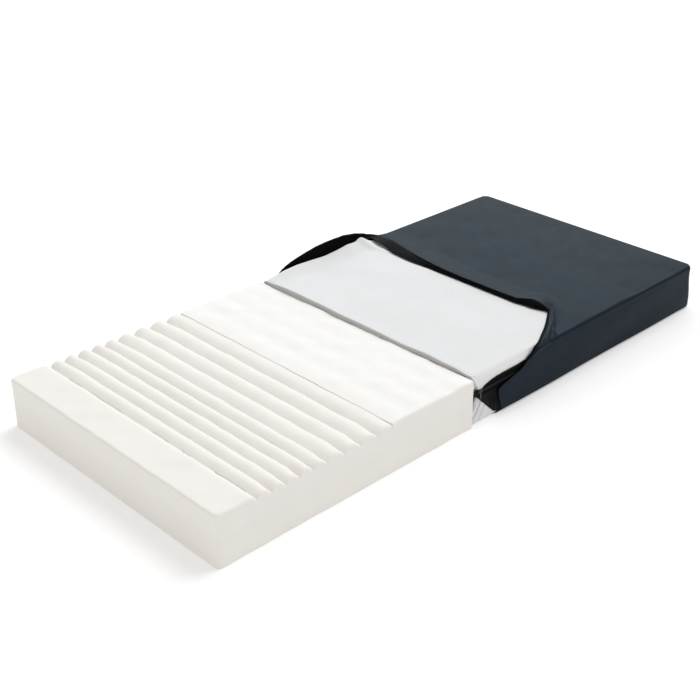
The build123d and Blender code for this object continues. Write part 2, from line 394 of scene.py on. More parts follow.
def liner_material(name, light, dark):
    """A fine knit, slightly uneven in tone."""
    cloth = Material(name, 0.85, Specular_IOR_Level=0.2, Sheen_Weight=0.1, Sheen_Roughness=0.5)
    ribs = cloth.wave(290.0, "Y", distortion=0.4)
    courses = cloth.wave(240.0, "X", distortion=0.4)
    knit = cloth.maths("MULTIPLY", ribs, courses)
    cloth.mottle(cloth.noise(9.0), dark, light)
    cloth.bump(knit, 0.0003, 0.4)
    cloth.bump(cloth.noise(38.0, detail=2.0), 0.0022, 0.22)
    return cloth.material


def cover_material():
    """Navy coated stretch cloth, with a faint grain and a cool sheen."""
    cloth = Material("cover cloth", 0.46, Specular_IOR_Level=0.09)
    cloth.shader.inputs["Specular Tint"].default_value = (0.66, 0.91, 1.0, 1.0)
    grain = cloth.cells(1400.0)
    cloth.mottle(cloth.noise(5.0), (0.0032, 0.0080, 0.0160), (0.0046, 0.0104, 0.0200))
    cloth.roughness(cloth.noise(26.0), 0.42, 0.52)
    cloth.bump(grain, 0.00012, 0.25)
    cloth.bump(cloth.noise(11.0, detail=2.0), 0.006, 0.05)
    return cloth.material


def black_material(name, light, dark, weave_scale, shine):
    """A black woven cloth, whose weave shows on faces of any direction."""
    cloth = Material(name, 0.48, Specular_IOR_Level=shine)
    warp = cloth.wave(weave_scale, "X")
    weft = cloth.wave(weave_scale, "Z")
    across = cloth.wave(weave_scale, "Y")
    on_ends = cloth.maths("MULTIPLY", warp, weft)
    on_sides = cloth.maths("MULTIPLY", across, weft)
    cloth.mottle(cloth.noise(60.0), dark, light)
    cloth.bump(cloth.maths("MAXIMUM", on_ends, on_sides), 0.0003, 0.5)
    return cloth.material


def plastic_material(name, colour, roughness):
    """Moulded plastic with a slight unevenness of shine."""
    plastic = Material(name, roughness, Specular_IOR_Level=0.25)
    dark = tuple(0.7 * c for c in colour)
    plastic.mottle(plastic.noise(120.0), dark, colour, 0.35, 0.65)
    plastic.roughness(plastic.noise(300.0), roughness - 0.08, roughness + 0.1)
    plastic.bump(plastic.noise(900.0), 0.00005, 0.3)
    return plastic.material


def painted_metal_material():
    """Black enamel with the metal showing in small worn spots."""
    metal = Material("zip slider enamel", 0.35, Specular_IOR_Level=0.5)
    wear = metal.noise(420.0, detail=4.0)
    metal.mottle(wear, (0.007, 0.007, 0.008), (0.10, 0.10, 0.105), 0.62, 0.76)
    worn = metal.maths("GREATER_THAN", wear, 0.72)
    metal.links.new(worn, metal.shader.inputs["Metallic"])
    metal.roughness(metal.noise(200.0), 0.26, 0.42)
    metal.bump(wear, 0.00004, 0.4)
    return metal.material


def thread_material(name, colour):
    """Twisted sewing thread."""
    thread = Material(name, 0.6, Sheen_Weight=0.2)
    dark = tuple(0.6 * c for c in colour)
    thread.mottle(thread.noise(900.0), dark, colour, 0.4, 0.6)
    thread.bump(thread.wave(2600.0, "DIAGONAL"), 0.00006, 0.8)
    return thread.material


foam_topper_look = foam_material("topper foam", (0.885, 0.862, 0.820), (0.866, 0.840, 0.792))
# A lighter copy of the foam for the upward faces of the body and head blocks: painted light on their
# tops.
foam_top_painted_light_look = foam_material("foam top with painted light", (0.935, 0.920, 0.892), (0.918, 0.900, 0.868))
foam_slab_look = foam_material("slab foam", (0.880, 0.855, 0.808), (0.862, 0.832, 0.780))
liner_look = liner_material("liner cloth", (0.795, 0.795, 0.797), (0.770, 0.770, 0.772))
# The hem roll's cloth is the liner knit painted darker, as painted shade on the hem's front face.
liner_hem_painted_shade_look = liner_material("liner hem with painted shade", (0.47, 0.47, 0.455), (0.42, 0.42, 0.405))
cover_look = cover_material()
lining_look = black_material(
    "black lining", (0.0048, 0.0052, 0.0064), (0.0028, 0.0030, 0.0036), 520.0, 0.07
)
tape_look = black_material(
    "zip tape", (0.0042, 0.0042, 0.0048), (0.0024, 0.0024, 0.0028), 900.0, 0.02
)
coil_look = plastic_material("zip coil", (0.008, 0.008, 0.009), 0.36)
metal_look = painted_metal_material()
liner_thread_look = thread_material("liner thread", (0.70, 0.70, 0.71))
cover_thread_look = thread_material("cover thread", (0.022, 0.028, 0.040))
tape_thread_look = thread_material("tape thread", (0.020, 0.020, 0.022))


# ---- Foam core ----------------------------------------------------------------------------------
plain_band = 0.124
narrow_count = 5
narrow_pitch = 0.0445
wide_count = 4
wide_pitch = (seam_x - foot_low.x - plain_band - narrow_count * narrow_pitch) / wide_count
rib_depth = 0.015
last_rib_share = 0.45
wave_count = 4
wave_depth = 0.0018
band_rounding = 0.026
foam_plan_radius = 0.012
foam_edge_radius = 0.007


def rib_edges():
    """X of each valley between the ribs of the foot zone, from the foot end to the seam."""
    first = foot_low.x + plain_band
    narrow = first + narrow_pitch * np.arange(narrow_count + 1)
    wide = narrow[-1] + wide_pitch * np.arange(1, wide_count + 1)
    return np.concatenate([narrow, wide])


def foot_drop(x, y):
    """How far the foot zone's top lies below the mattress top at x, y."""
    edges = rib_edges()
    wobble = 0.0006 * ripple(y, y * 0.0, 0.19, 31) + 0.0004 * ripple(x, y, 0.07, 32)
    x = x + wobble
    k = np.clip(np.searchsorted(edges, x) - 1, 0, len(edges) - 2)
    start, end = edges[k], edges[k + 1]
    half = (end - start) / 2
    depth = rib_depth * (1.0 + 0.05 * np.sin(2.4 * k + 0.7))
    depth = depth * (0.70 + 0.30 * smooth((np.abs(y) - half_width + 0.06) / 0.05))
    from_middle = np.clip(np.abs(x - (start + end) / 2) / half, 0, 1)
    rib = depth * from_middle**2
    rib *= np.where(x > seam_x - wide_pitch / 2, last_rib_share, 1.0)
    before = x - (edges[0] - band_rounding)
    lead = np.clip(before, 0, band_rounding)
    lead_radius = (band_rounding**2 + rib_depth**2) / (2 * rib_depth)
    band = lead_radius - np.sqrt(lead_radius**2 - lead**2)
    return np.where(x < edges[0], band, rib)


def body_drop(x, y):
    """The same for the body zone, whose waves fade out where the liner holds the foam down."""
    pitch = (held_x - seam_x) / wave_count
    phase = (x - seam_x) / pitch
    wave = 0.5 - 0.5 * np.cos(math.tau * (phase - 0.5))
    wave = wave_depth * wave * (0.75 + 0.25 * ripple(y, x * 0.0, 0.3, 41))
    seam = 0.0012 * np.exp(-np.maximum(x - seam_x, 0) / 0.005)
    shown = 1 - smooth((x - held_x) / 0.05)
    return (wave + seam) * (0.35 + 0.65 * shown)


def squeeze(points):
    """Narrows, lowers and rounds the core where the tight cover holds it."""
    held = smooth((points[:, 0] - held_x) / squeeze_length)
    width = 1 - held * (1 - held_half_width / half_width)
    lifted = held_bottom + points[:, 2] / mattress_top * (held_top - held_bottom)
    z = points[:, 2] * (1 - held) + lifted * held
    pressed = np.column_stack([points[:, 0], points[:, 1] * width, z])
    low = (-2.0, -held_half_width, -1.0)
    high = (2.0, held_half_width, held_top)
    rounded = soften(pressed, low, high, foam_plan_radius, held_edge_radius)
    pressed += (rounded - pressed) * (held * (z > held_top - held_edge_radius - 0.001))[:, None]
    x, y, z = pressed.T
    dent = pleat_dent * smooth((x - held_x - 0.002) / 0.012) * smooth((-0.004 - x) / 0.05)
    dent *= smooth((pleat_dent_top - z) / 0.03) * smooth((-y - held_half_width + 0.05) / 0.05)
    pressed[:, 1] += dent
    return pressed


def foam_block(name, node, xs, z0, z1, looks, drop=None, free_ends=(False, False)):
    """A foam block over the positions xs, whose top follows drop(x, y).

    looks is the material of its cut faces and that of its top. free_ends says whether its foot and
    head ends are free, with rounded corners, or glued to the next block."""
    reach = 0.02
    low_x = xs[0] if free_ends[0] else xs[0] - reach
    high_x = xs[-1] if free_ends[1] else xs[-1] + reach
    is_topper = z1 > slab_high.z
    edge_radius = foam_edge_radius if is_topper else 0.0
    ys = samples(-half_width, half_width, 0.0065, foam_plan_radius, 8)
    zs = samples(z0, z1, 0.009, edge_radius, 5)
    points, faces = box_skin(xs, ys, zs, ["top", "bottom", "near", "far", "head", "foot"])
    low, high = (low_x, -half_width, z0), (high_x, half_width, z1)
    points = soften(points, low, high, foam_plan_radius, edge_radius)
    if drop is not None:
        height = (points[:, 2] - z0) / (z1 - z0)
        points[:, 2] -= drop(points[:, 0], points[:, 1]) * height
    x, y, z = points.T
    outward = np.sign(y) * smooth((np.abs(y) - half_width + 0.03) / 0.03)
    points[:, 1] += outward * 0.0008 * ripple(x, z, 0.12, 51)
    if is_topper:
        lift = smooth((z - z0) / (z1 - z0))
        points[:, 2] += lift * 0.0007 * ripple(x, y, 0.09, 52)
    block = make_object(name, squeeze(points), faces, looks, smooth_angle=50)
    # Faces that look up take the second look, which for the body and head blocks is painted lighter
    # than their sides.
    for polygon in block.data.polygons:
        polygon.material_index = 1 if polygon.normal.z > 0.75 else 0
    belongs(block, "core", "foam", node)


def foam_core():
    """The three zones of the topper and the slab under them, finely divided where they bend."""
    mid = slab_high.z
    foot, head = slab_low.x, slab_high.x
    radius = foam_plan_radius
    edges = rib_edges()
    rib_turn = np.linspace(0, math.pi, 19)[:-1]
    ribs = [(a + b) / 2 - (b - a) / 2 * np.cos(rib_turn) for a, b in zip(edges[:-1], edges[1:])]
    band = stretches(foot, 0.002, foot + radius, 0.008, edges[0] - band_rounding, 0.0022, edges[0])
    foot_x = np.concatenate([band[:-1], *ribs, edges[-1:]])
    where_held = (held_x - 0.003, 0.0015, held_x + 0.015, 0.005, held_x + 0.05)
    body_x = stretches(seam_x, 0.0018, seam_x + 0.02, 0.006, *where_held, 0.02, body_high.x)
    head_x = stretches(body_high.x, 0.02, head - radius, 0.002, head)
    slab_x = stretches(foot, 0.002, foot + radius, 0.02, *where_held, 0.02, head - radius, 0.002, head)
    cut = (foam_topper_look, foam_topper_look)
    # The body and head blocks' tops are painted lighter than their cut sides.
    shown = (foam_topper_look, foam_top_painted_light_look)
    slab = (foam_slab_look, foam_slab_look)
    top = mattress_top
    foam_block("foam_foot_zone", "foam_foot_topper", foot_x, mid, top, cut, foot_drop, (True, False))
    foam_block("foam_body_zone", "foam_body_topper", body_x, mid, top, shown, body_drop)
    foam_block("foam_head_zone", "foam_head_topper", head_x, mid, top, shown, None, (False, True))
    foam_block("foam_slab", "foam_base_slab", slab_x, 0.0, mid, slab, None, (True, True))


# ---- Liner --------------------------------------------------------------------------------------
liner_front = liner_low.x
liner_cloth = 0.001
liner_edge_radius = 0.018


def around_of(y, z, half, top):
    """Distance round a section: the near wall below -half, the top between, the far wall above."""
    wall = np.maximum(top - z, 0)
    on_wall = np.abs(y) > half - 1e-6
    return np.where(on_wall, np.sign(y) * (half + wall), y)


# How far the liner's far edge is lifted as the cover's arched edge pulls it up, along X.
far_lift = np.array(
    [
        (-0.100, 0.002),
        (-0.060, 0.011),
        (-0.014, 0.018),
        (0.042, 0.020),
        (0.103, 0.018),
        (0.165, 0.015),
        (0.219, 0.018),
        (0.265, 0.024),
        (0.311, 0.022),
        (0.359, 0.010),
        (0.410, 0.000),
    ]
)


def pinched(points, around):
    """Draws the liner's front edge in at the near tip, where the zip's end gathers it."""
    z = points[:, 2]
    depth = 0.021 * np.exp(-(((z - 0.100) / 0.028) ** 2)) - 0.010 * smooth((0.045 - z) / 0.045)
    depth += 0.006 * np.exp(-(((z - 0.055) / 0.02) ** 2))
    at_front = smooth((0.01 - points[:, 0]) / 0.09)
    wall = np.abs(around) > liner_high.y
    return np.where(wall, depth * at_front, 0.0)


# Creases as (start, end, width, height), over X and Z on a wall or X and distance round on a panel.
liner_pleats = (
    ((-0.060, 0.082), (-0.086, -0.006), 0.0030, -0.0200),
    ((-0.040, 0.060), (-0.058, -0.006), 0.0045, -0.0090),
    ((-0.050, 0.066), (-0.069, -0.006), 0.0060, 0.0030),
    ((-0.072, 0.090), (-0.106, 0.020), 0.0040, -0.0090),
)
liner_swells = (
    ((0.02, -0.36), (0.30, -0.24), 0.035, 0.0016),
    ((0.30, 0.10), (0.12, 0.40), 0.040, 0.0018),
)


def liner_sleeve():
    """The sleeve over the core: flat under it, swollen on top, folded at the near tip."""
    half = liner_high.y
    head = liner_high.x
    xs = stretches(
        liner_front, 0.0010, -0.01, 0.0035, 0.06, 0.007, 0.42, 0.02, head - 0.012, 0.002, head
    )
    ys = samples(-half, half, 0.008, 0.020, 10)
    zs = samples(liner_base_low.z, liner_high.z, 0.0035, 0.018, 8)
    sides = ["top", "near", "far", "head", "bottom"]
    points, faces = box_skin(xs, ys, zs, sides)
    around = around_of(points[:, 1], points[:, 2], half, liner_high.z)
    # The base panel goes on round the section from the foot of each wall to the middle.
    on_base = (points[:, 2] < liner_base_low.z + 1e-6) & (np.abs(points[:, 1]) < half - 1e-6)
    side = np.where(points[:, 1] < 0, -1.0, 1.0)
    under = side * (2 * half + liner_high.z - liner_base_low.z) - points[:, 1]
    around = np.where(on_base, under, around)
    low = (liner_front - 0.05, -half, liner_base_low.z)
    shaped = soften(points, low, tuple(liner_high), 0.012, liner_edge_radius, 0.002)
    x, y, z = shaped.T
    to_top = smooth((half + 0.012 - np.abs(around)) / 0.020)
    shown = 1 - smooth((x - 0.33) / 0.05)
    swell = 0.0016 + 0.0010 * ripple(x, y, 0.34, 61) + 0.0004 * ripple(x, y, 0.11, 62)
    swell += 0.0015 * np.exp(-((x - liner_front) / 0.03) ** 2) + ridges(x, y, liner_swells)
    shaped[:, 2] += to_top * shown * swell
    # The far edge is lifted, and stands up in a steep fold under the arch of the cover's mouth.
    edge_lift = np.interp(x, far_lift[:, 0], far_lift[:, 1])
    to_crease = np.where(around < half, (half - around) / 0.060, (around - half) / 0.050)
    shaped[:, 2] += edge_lift * smooth(1 - to_crease)
    past_fold = 0.36 * (around - 0.321) + 0.93 * (x - 0.353)
    under_arch = smooth((0.372 - x) / 0.05) * smooth((x - 0.180) / 0.10)
    under_arch *= smooth(1 - (around - half) / 0.05)
    shaped[:, 2] += 0.014 * under_arch * smooth((past_fold + 0.010) / 0.026)
    wall = around < -half
    shaped[:, 1] -= np.where(wall & (z > 0.0022), ridges(x, z, liner_pleats), 0.0)
    shaped[:, 0] += pinched(shaped, around)
    obj = make_object("liner_sleeve", shaped, faces, liner_look)
    thicken(obj, liner_cloth)
    panels = [f"liner_{part}_panel" for part in ("top", "base")]
    borders = [f"liner_border_{side}" for side in ("near", "far", "head")]
    return belongs(obj, "liner", "liner_cloth", *panels, *borders)


def section_loop(half, low_z, high_z, radius, step):
    """Points and outward directions round a rounded upright rectangle, from the near floor up."""
    corners = [
        ((-half + radius, high_z - radius), math.pi, math.pi / 2),
        ((half - radius, high_z - radius), math.pi / 2, 0.0),
        ((half - radius, low_z + radius), 0.0, -math.pi / 2),
        ((-half + radius, low_z + radius), -math.pi / 2, -math.pi),
    ]
    points, normals = [], []
    for k, (centre, start, end) in enumerate(corners):
        for angle in np.linspace(start, end, 7):
            out = np.array([math.cos(angle), math.sin(angle)])
            points.append(np.array(centre) + radius * out)
            normals.append(out)
        following = corners[(k + 1) % 4]
        first = points[-1]
        out = normals[-1]
        target = np.array(following[0]) + radius * out
        for t in np.linspace(0, 1, max(2, round(np.linalg.norm(target - first) / step)))[1:-1]:
            points.append(first + t * (target - first))
            normals.append(out)
    return np.array(points), np.array(normals)


def liner_hem():
    """The rolled hem round the open end, and the stitch row behind it."""
    half = liner_high.y - 0.0006
    loop, normals = section_loop(half, liner_base_low.z, liner_high.z, liner_edge_radius, 0.006)
    loop[:, 1] = np.maximum(loop[:, 1], liner_base_low.z)
    count = len(loop)
    y, z = loop.T
    lift = np.interp(liner_front, far_lift[:, 0], far_lift[:, 1])
    risen = z + lift * smooth((y - half + 0.06) / 0.06) * smooth((z - 0.10) / 0.04)
    bare = np.column_stack([np.full(count, liner_front), y, z])
    drawn_in = pinched(bare, np.where(z < liner_high.z - 0.004, np.sign(y) * 1.0, 0.0))
    wobble = 0.0016 * ripple(y, z, 0.16, 71)
    centre = np.column_stack([liner_front - 0.0045 + wobble + drawn_in, y, risen])
    out = np.column_stack([np.zeros(count), normals])
    path = [(centre[i], np.array([1.0, 0, 0]), out[i]) for i in range(count)]
    on_top = smooth((normals[:, 1] - 0.3) / 0.6)
    below = smooth((-normals[:, 1] - 0.3) / 0.6)
    bulk = 0.84 + 0.10 * ripple(y, z, 0.21, 72) + 0.22 * smooth((y + 0.10) / 0.3)
    bulk *= 0.45 + 0.55 * smooth((half - 0.01 - np.abs(y)) / 0.07)
    tall = (0.0115 * on_top + 0.0048 * (1 - on_top)) * bulk * (1 - 0.8 * below)
    wide = (0.0058 * on_top + 0.0042 * (1 - on_top)) * bulk
    turns = np.linspace(0, math.tau, 17)[:-1]

    def outline(i):
        across = wide[i] * np.sign(np.cos(turns)) * np.abs(np.cos(turns)) ** 0.7
        rise = tall[i] * 0.5 * (1 + np.sin(turns)) - 0.0004
        tuck = 0.0007 * np.exp(-(((turns - 5.2) / 0.35) ** 2))
        return list(zip(across + 0.0012 * np.sin(turns), rise - tuck))

    # The roll is painted darker than the liner, for the shade on its front face.
    roll = ring_sweep("liner_hem_roll", path, outline, liner_hem_painted_shade_look)
    belongs(roll, "liner", "liner_cloth", "liner_hem")
    stitch_places = []
    for i in range(0, count, 2):
        if normals[i][1] < 0.5:
            continue
        ahead = centre[(i + 1) % count] - centre[i - 1]
        ahead = ahead / np.linalg.norm(ahead)
        place = centre[i] + np.array([0.0135, 0, 0]) + out[i] * 0.0036
        stitch_places.append((place, ahead, np.cross(out[i], ahead), out[i]))
    stitches = copies("liner_hem_stitches", capsule(0.0070, 0.0004), stitch_places, liner_thread_look)
    return roll, belongs(stitches, "liner", "liner_cloth")


# ---- Cover --------------------------------------------------------------------------------------
cover_cloth = 0.0012
base_cloth = 0.0009
lining_cloth = 0.0006
tape_cloth = 0.0008
cover_plan_radius = 0.028
head_flare = 0.014
cover_edge_radius = 0.009

# The outer cloth's mouth edge, as distance round the section (the near floor edge is most negative),
# then where that point of the edge lies, and how far back from it the cloth leaves its box shape.
mouth_edge = np.array(
    [
        (-0.586, 0.032, -0.4400, 0.0045, 0.05),
        (-0.572, 0.024, -0.4402, 0.0180, 0.05),
        (-0.545, 0.014, -0.4403, 0.0450, 0.05),
        (-0.516, 0.008, -0.4404, 0.0740, 0.05),
        (-0.506, 0.017, -0.4404, 0.0840, 0.05),
        (-0.496, 0.060, -0.4404, 0.0945, 0.05),
        (-0.486, 0.097, -0.4403, 0.1040, 0.05),
        (-0.466, 0.132, -0.4402, 0.1240, 0.06),
        (-0.452, 0.154, -0.4395, 0.1390, 0.06),
        (-0.440, 0.177, -0.4370, 0.1520, 0.06),
        (-0.404, 0.250, -0.4050, 0.1550, 0.06),
        (-0.352, 0.338, -0.3520, 0.1555, 0.07),
        (-0.322, 0.375, -0.3220, 0.1575, 0.08),
        (-0.296, 0.377, -0.2960, 0.1660, 0.09),
        (-0.262, 0.379, -0.2620, 0.1690, 0.10),
        (-0.235, 0.369, -0.2350, 0.1660, 0.10),
        (-0.205, 0.360, -0.2050, 0.1625, 0.10),
        (0.000, 0.357, 0.0000, 0.1620, 0.10),
        (0.140, 0.364, 0.1400, 0.1630, 0.11),
        (0.255, 0.388, 0.2550, 0.1600, 0.11),
        (0.318, 0.406, 0.3180, 0.1580, 0.11),
        (0.377, 0.419, 0.3770, 0.1565, 0.10),
        (0.424, 0.421, 0.4260, 0.1535, 0.08),
        (0.440, 0.410, 0.4390, 0.1550, 0.04),
        (0.445, 0.370, 0.4402, 0.1685, 0.05),
        (0.451, 0.312, 0.4403, 0.1870, 0.09),
        (0.458, 0.229, 0.4403, 0.1990, 0.18),
        (0.465, 0.148, 0.4403, 0.1965, 0.25),
        (0.472, 0.069, 0.4403, 0.1835, 0.26),
        (0.480, 0.017, 0.4403, 0.1710, 0.24),
        (0.490, -0.024, 0.4403, 0.1500, 0.18),
        (0.500, -0.046, 0.4403, 0.1180, 0.10),
        (0.512, -0.030, 0.4403, 0.0830, 0.06),
        (0.545, 0.004, 0.4403, 0.0450, 0.05),
        (0.586, 0.032, 0.4400, 0.0045, 0.05),
    ]
)

# The doubled hem folded over the near corner: distance round the section and the fold's width.
corner_fold = np.array(
    [
        (-0.470, 0.000),
        (-0.455, 0.048),
        (-0.437, 0.088),
        (-0.404, 0.050),
        (-0.360, 0.034),
        (-0.322, 0.022),
        (-0.290, 0.000),
    ]
)


def curve_through(table, at):
    """Smooth values of each column of table at the positions at, with the first column as their key."""
    keys = table[:, 0]
    values = table[:, 1:]
    slopes = np.gradient(values, keys, axis=0)
    steps = np.diff(values, axis=0) / np.diff(keys)[:, None]
    before = np.vstack([steps[:1], steps])
    after = np.vstack([steps, steps[-1:]])
    limit = 2.5 * np.minimum(np.abs(before), np.abs(after))
    slopes = np.where(before * after > 0, np.clip(slopes, -limit, limit), 0.0)
    at = np.clip(at, keys[0], keys[-1])
    k = np.clip(np.searchsorted(keys, at, side="right") - 1, 0, len(keys) - 2)
    span = (keys[k + 1] - keys[k])[:, None]
    t = ((at - keys[k])[:, None]) / span
    h00, h10 = 2 * t**3 - 3 * t**2 + 1, t**3 - 2 * t**2 + t
    h01, h11 = -2 * t**3 + 3 * t**2, t**3 - t**2
    start, end = values[k], values[k + 1]
    return h00 * start + h10 * span * slopes[k] + h01 * end + h11 * span * slopes[k + 1]


def mouth_at(around):
    """Mouth edge points for distances round the section."""
    return curve_through(mouth_edge, np.asarray(around, float))[:, :3]


# The wrinkles of the doubled hem and the hollow behind it, over X and distance round the section.
corner_creases = (
    ((0.195, -0.428), (0.352, -0.335), 0.0045, 0.0034),
    ((0.222, -0.436), (0.318, -0.378), 0.0040, 0.0040),
    ((0.262, -0.437), (0.300, -0.396), 0.0045, 0.0046),
    ((0.160, -0.450), (0.235, -0.438), 0.0045, 0.0030),
    ((0.300, -0.405), (0.420, -0.300), 0.0140, -0.0016),
)


def flare_at(x):
    """How far the foot of the cover's head end stands out beyond its box, at x."""
    return head_flare * smooth((x - 0.86) / 0.12)


def cover_shell():
    """Top panel and outer flaps, with the near, far and head walls hanging to the floor."""
    flap_bottom = flap_low.z
    stations = stretches(0.0, 0.0041, 0.16, 0.0096, 0.40, 0.0205, 0.955, 0.00265, 1.0)
    ys = samples(-half_width, half_width, 0.0080, cover_plan_radius, 14)
    zs = samples(flap_bottom, mattress_top, 0.0040, cover_edge_radius, 8)
    points, faces = box_skin(stations, ys, zs, ["top", "near", "far", "head"])
    share = points[:, 0]
    around = around_of(points[:, 1], points[:, 2], half_width, mattress_top)
    edge = curve_through(mouth_edge, around)
    target, reach = edge[:, :3], edge[:, 3]
    x = target[:, 0] + (head_end - target[:, 0]) * share
    flat = np.column_stack([x, points[:, 1], points[:, 2]])
    low, high = (-1.0, -half_width, flap_bottom), (head_end, half_width, mattress_top)
    shaped = soften(flat, low, high, cover_plan_radius, cover_edge_radius)
    start = np.column_stack([target[:, 0], points[:, 1], points[:, 2]])
    start = soften(start, low, high, cover_plan_radius, cover_edge_radius)
    behind = (x - target[:, 0]) / reach
    pulled = np.where(around > 0.442, np.clip(1 - behind**2, 0, 1), smooth(1 - behind))
    shaped += (target - start) * pulled[:, None]
    x, y, z = shaped.T
    crease = half_width - cover_edge_radius
    top = smooth((crease + 0.008 - np.abs(around)) / 0.012) * (share < 1)
    away = smooth(behind)
    wrinkle = 0.0010 * ripple(x, y, 0.42, 81) + 0.0005 * ripple(x, y, 0.15, 82)
    shaped[:, 2] += top * away * wrinkle * smooth((head_end - x) / 0.06)
    # The doubled hem and its wrinkles, raised from whichever panel they lie on.
    width = np.interp(around, corner_fold[:, 0], corner_fold[:, 1], left=0, right=0)
    from_edge = x - target[:, 0]
    fold = 0.0034 * smooth((width - from_edge) / 0.006) * smooth(from_edge / 0.012)
    fold += ridges(x, around, corner_creases)
    shaped[:, 2] += fold * top
    shaped[:, 1] -= fold * (1 - top) * (around < 0)
    # The walls bow out a little, and the head end flares towards the floor.
    walls = smooth((np.abs(around) - half_width - 0.012) / 0.02) * away
    bow = 0.0010 * ripple(x, z * 2.0, 0.30, 83)
    bow += 0.0010 * np.sin(np.clip(z / mattress_top, 0, 1) * math.pi)
    shaped[:, 1] += np.sign(y) * smooth((np.abs(y) - half_width + 0.016) / 0.016) * walls * bow
    shaped[:, 0] += flare_at(x) * smooth((0.140 - z) / 0.130)
    obj = make_object("cover_shell", shaped, faces, [cover_look, lining_look])
    thicken(obj, cover_cloth, inside_slot=1)
    flaps = [f"cover_flap_{side}" for side in ("near", "far", "head")]
    return belongs(obj, "cover", "cover_cloth", "cover_top_panel", *flaps)


def cover_base():
    """The base panel under the core, a little lower along its foot edge."""
    xs = samples(base_low.x, base_high.x, 0.014, 0.02, 8)
    ys = samples(-base_high.y, base_high.y, 0.014, 0.02, 8)
    x, y = np.meshgrid(xs, ys, indexing="ij")
    z = 0.0014 + 0.0003 * ripple(x, y, 0.2, 91)
    lip = 0.0012 * np.exp(-((x - base_low.x) / 0.006) ** 2)
    obj = grid_object("cover_base", np.stack([x, y, z - lip * 0.4], axis=2), [cover_look, lining_look])
    thicken(obj, base_cloth)
    for polygon in obj.data.polygons:
        polygon.material_index = 0 if polygon.normal.z < -0.5 else 1
    return belongs(obj, "cover", "cover_cloth", "cover_base_panel")


tip_x = stop_low.x - 0.004
zip_z = (stop_low.z + stop_high.z) / 2
slider_x = (slider_low.x + slider_high.x) / 2
lining_y = tape_high.y - 0.0012
lining_head_x = tape_high.x - 0.0012
lining_corner_radius = cover_plan_radius - (half_width - lining_y)
# The inner side wall at the mouth: X, its upper edge, its lower edge.
inner_wall_edges = np.array(
    [
        (tip_x, 0.1020, 0.0990),
        (-0.089, 0.1075, 0.0920),
        (-0.078, 0.1090, 0.0840),
        (-0.070, 0.1060, 0.0780),
        (-0.063, 0.1015, 0.0705),
        (-0.055, 0.1055, 0.0625),
        (-0.044, 0.1115, 0.0520),
        (-0.016, 0.1185, 0.0250),
        (0.000, 0.1205, 0.0100),
        (0.014, 0.1215, 0.0055),
        (0.034, 0.1220, 0.0030),
        (0.094, 0.1225, 0.0028),
        (0.130, 0.1255, 0.0028),
        (0.178, 0.1470, 0.0028),
        (1.000, 0.1470, 0.0028),
    ]
)


lining_pleats = (
    ((-0.020, 0.082), (-0.012, 0.026), 0.0024, 0.0034),
    ((-0.006, 0.084), (0.002, 0.016), 0.0024, 0.0040),
    ((0.004, 0.080), (0.020, 0.012), 0.0030, 0.0032),
    ((-0.050, 0.072), (-0.026, 0.042), 0.0040, 0.0020),
)


def lining_piece(obj, side):
    """Thickens one inner wall, which stands for the two borders of its side."""
    thicken(obj, lining_cloth)
    borders = [f"cover_border_{part}_{side}" for part in ("lower", "upper")]
    return belongs(obj, "cover", "black_cloth", *borders)


def inner_wall(side):
    """The inner side wall of the cover, from the tip to the head end. The zip's tapes lie on it."""
    sign = -1.0 if side == "near" else 1.0
    corner_x = lining_head_x - lining_corner_radius
    xs = stretches(tip_x, 0.0020, 0.05, 0.005, 0.20, 0.03, corner_x)
    share = np.linspace(0, 1, 46)
    x, v = np.meshgrid(xs, share, indexing="ij")
    upper = np.interp(x, inner_wall_edges[:, 0], inner_wall_edges[:, 1])
    lower = np.interp(x, inner_wall_edges[:, 0], inner_wall_edges[:, 2])
    z = lower + (upper - lower) * v
    pleats = ridges(x, z, lining_pleats)
    pleats *= smooth((0.088 - z) / 0.008) * smooth((0.03 - x) / 0.03)
    gathered = np.hypot((x + 0.079) / 0.013, (z - 0.097) / 0.011)
    pleats += 0.0024 * smooth(1 - gathered * 0.8)
    points = np.stack([x, sign * (lining_y + pleats), z], axis=2)
    obj = grid_object(f"cover_inner_wall_{side}", points, lining_look, flip=side == "far")
    return lining_piece(obj, side)


def inner_wall_head():
    """The same inner wall round the head corners and across the head end."""
    turns = np.linspace(0, math.pi / 2, 10)
    centre_x = lining_head_x - lining_corner_radius
    centre_y = lining_y - lining_corner_radius
    corner_x = centre_x + lining_corner_radius * np.sin(turns)
    corner_y = -centre_y - lining_corner_radius * np.cos(turns)
    across = samples(-centre_y, centre_y, 0.02)[1:-1]
    path_x = np.concatenate([corner_x, np.full(len(across), lining_head_x), corner_x[::-1]])
    path_y = np.concatenate([corner_y, across, -corner_y[::-1]])
    zs = samples(0.0028, 0.147, 0.012)
    x, z = np.meshgrid(path_x, zs, indexing="ij")
    y, z = np.meshgrid(path_y, zs, indexing="ij")
    obj = grid_object("cover_inner_wall_head", np.stack([x, y, z], axis=2), lining_look)
    return lining_piece(obj, "head")


